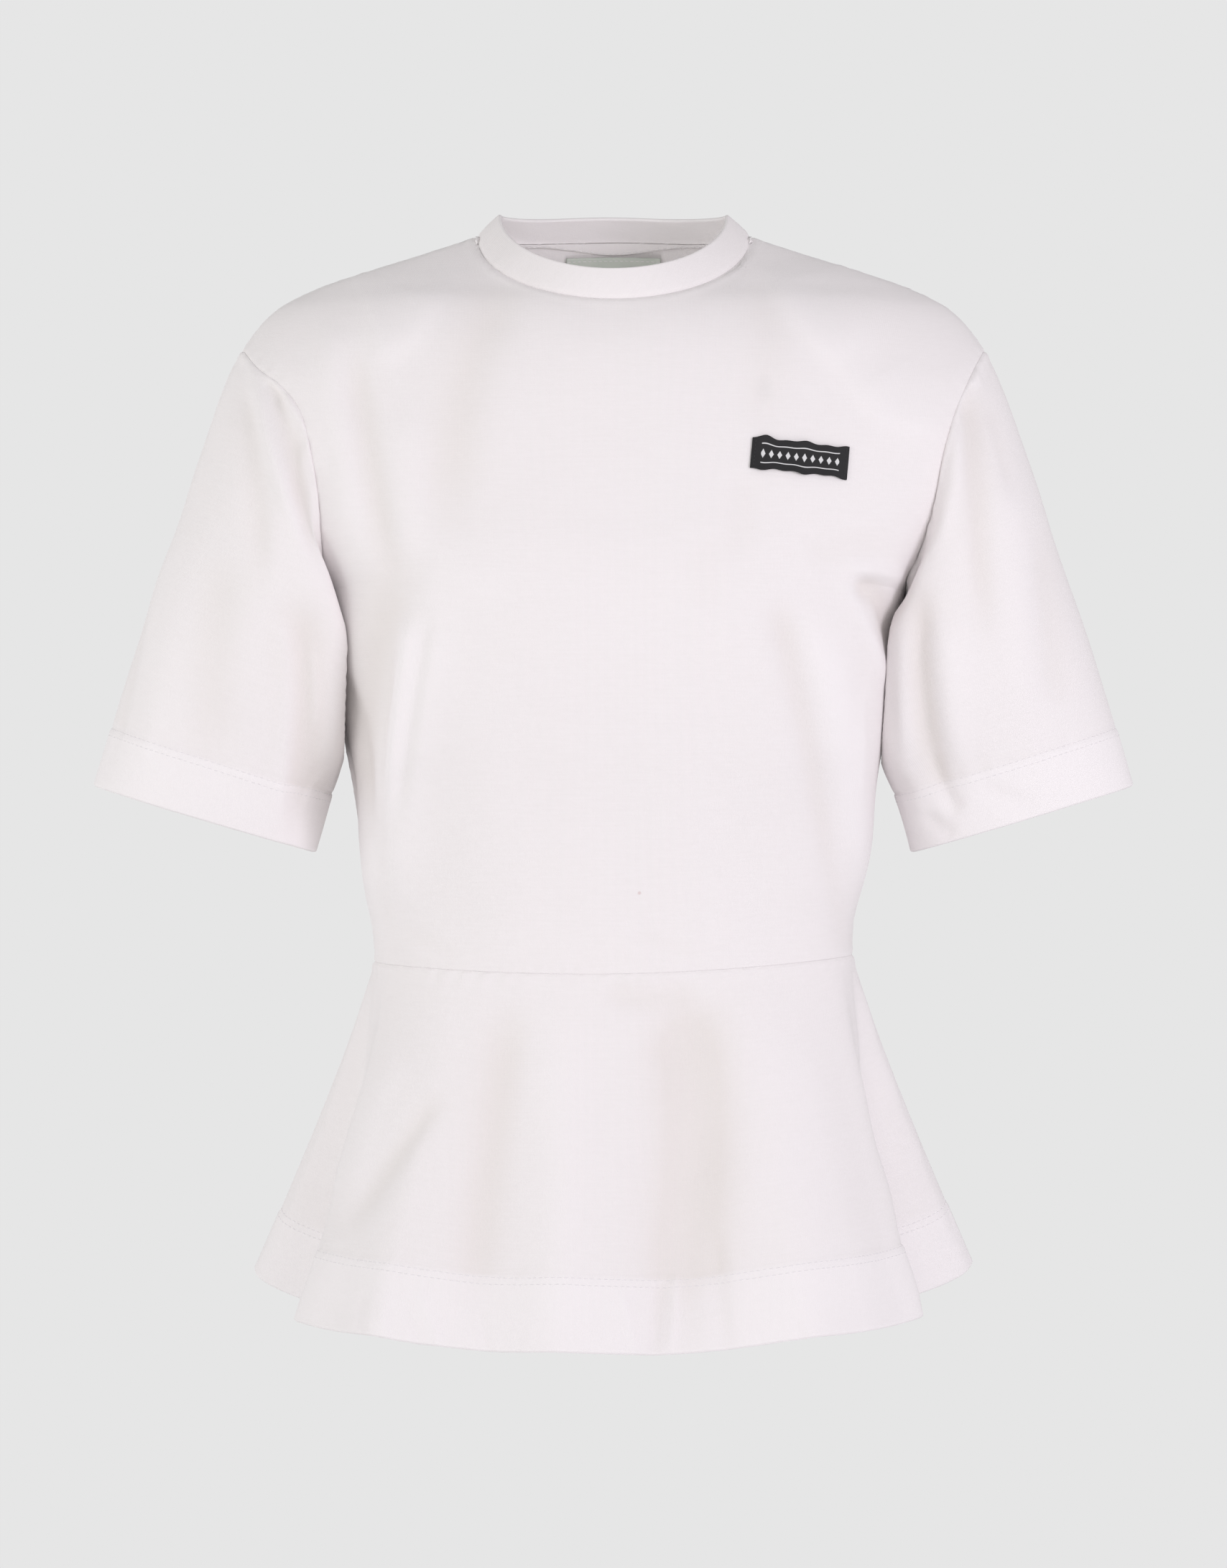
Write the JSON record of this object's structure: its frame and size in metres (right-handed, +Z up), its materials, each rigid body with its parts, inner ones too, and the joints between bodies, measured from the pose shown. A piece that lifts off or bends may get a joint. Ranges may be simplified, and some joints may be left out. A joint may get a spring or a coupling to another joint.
{
  "type": "peplum top",
  "caption": "Hollow white jersey top, filled out as worn, with a crew neck, elbow-length sleeves, a waist seam and a flared peplum that falls in soft flutes.",
  "frame": {"origin": "midway between the two points where the neck seam meets the shoulder seams, where the wearer's shoulders carry it", "axes": "+Z up along the wearer's spine, -Y the wearer's front, +X the wearer's left"},
  "size_m": [0.5902, 0.3096, 0.6388],
  "materials": {
    "white_jersey": "matt cotton jersey",
    "black_woven": "flat woven label",
    "pale_satin": "soft satin label"
  },
  "bodies": {
    "root": {"front_bodice": "white_jersey", "back_bodice": "white_jersey", "left_sleeve": "white_jersey", "right_sleeve": "white_jersey", "neck_band": "white_jersey", "front_peplum": "white_jersey", "back_peplum": "white_jersey", "neck_tape": "white_jersey", "chest_label": "black_woven", "inner_label": "pale_satin"}
  },
  "joints": []
}
